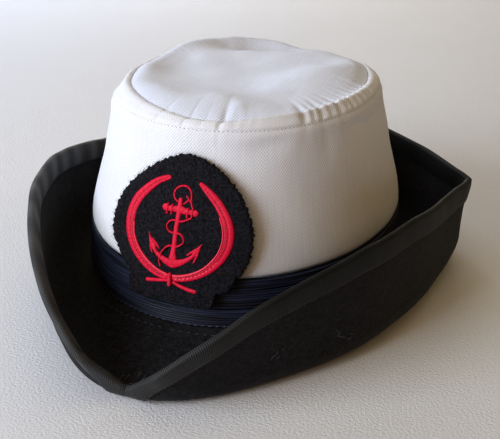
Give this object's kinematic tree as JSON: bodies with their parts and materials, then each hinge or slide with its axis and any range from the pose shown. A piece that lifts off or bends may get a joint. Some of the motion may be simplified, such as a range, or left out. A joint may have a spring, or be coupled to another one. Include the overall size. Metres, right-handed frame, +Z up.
{
  "type": "tricorn hat",
  "caption": "Three-cornered naval women's hat: black felt hood with turned-up bound flaps, ribbed band, white cloth crown cover and round anchor badge.",
  "frame": {"origin": "on the surface the hat rests on, under the middle of its overall box", "axes": "+Z up, -Y towards the front corner of the hat, +X towards the wearer's left"},
  "size_m": [0.2362, 0.2862, 0.1137],
  "materials": {
    "felt_hood": "black wool felt",
    "edge_binding": "charcoal ribbed ribbon",
    "band": "navy-black ribbed braid",
    "cover_side": "white cotton twill",
    "cover_tip": "white cotton twill",
    "badge_patch": "dark navy felt",
    "badge_anchor": "red satin embroidery",
    "badge_anchor_ring": "red satin embroidery",
    "badge_cord_left": "red satin embroidery",
    "badge_cord_right": "red satin embroidery",
    "badge_knot": "red satin embroidery"
  },
  "bodies": {
    "root": {"felt_hood": "felt_hood", "edge_binding": "edge_binding", "band": "band", "cover_side": "cover_side", "cover_tip": "cover_tip", "badge_patch": "badge_patch", "badge_anchor": "badge_anchor", "badge_anchor_ring": "badge_anchor_ring", "badge_cord_left": "badge_cord_left", "badge_cord_right": "badge_cord_right", "badge_knot": "badge_knot"}
  },
  "joints": []
}
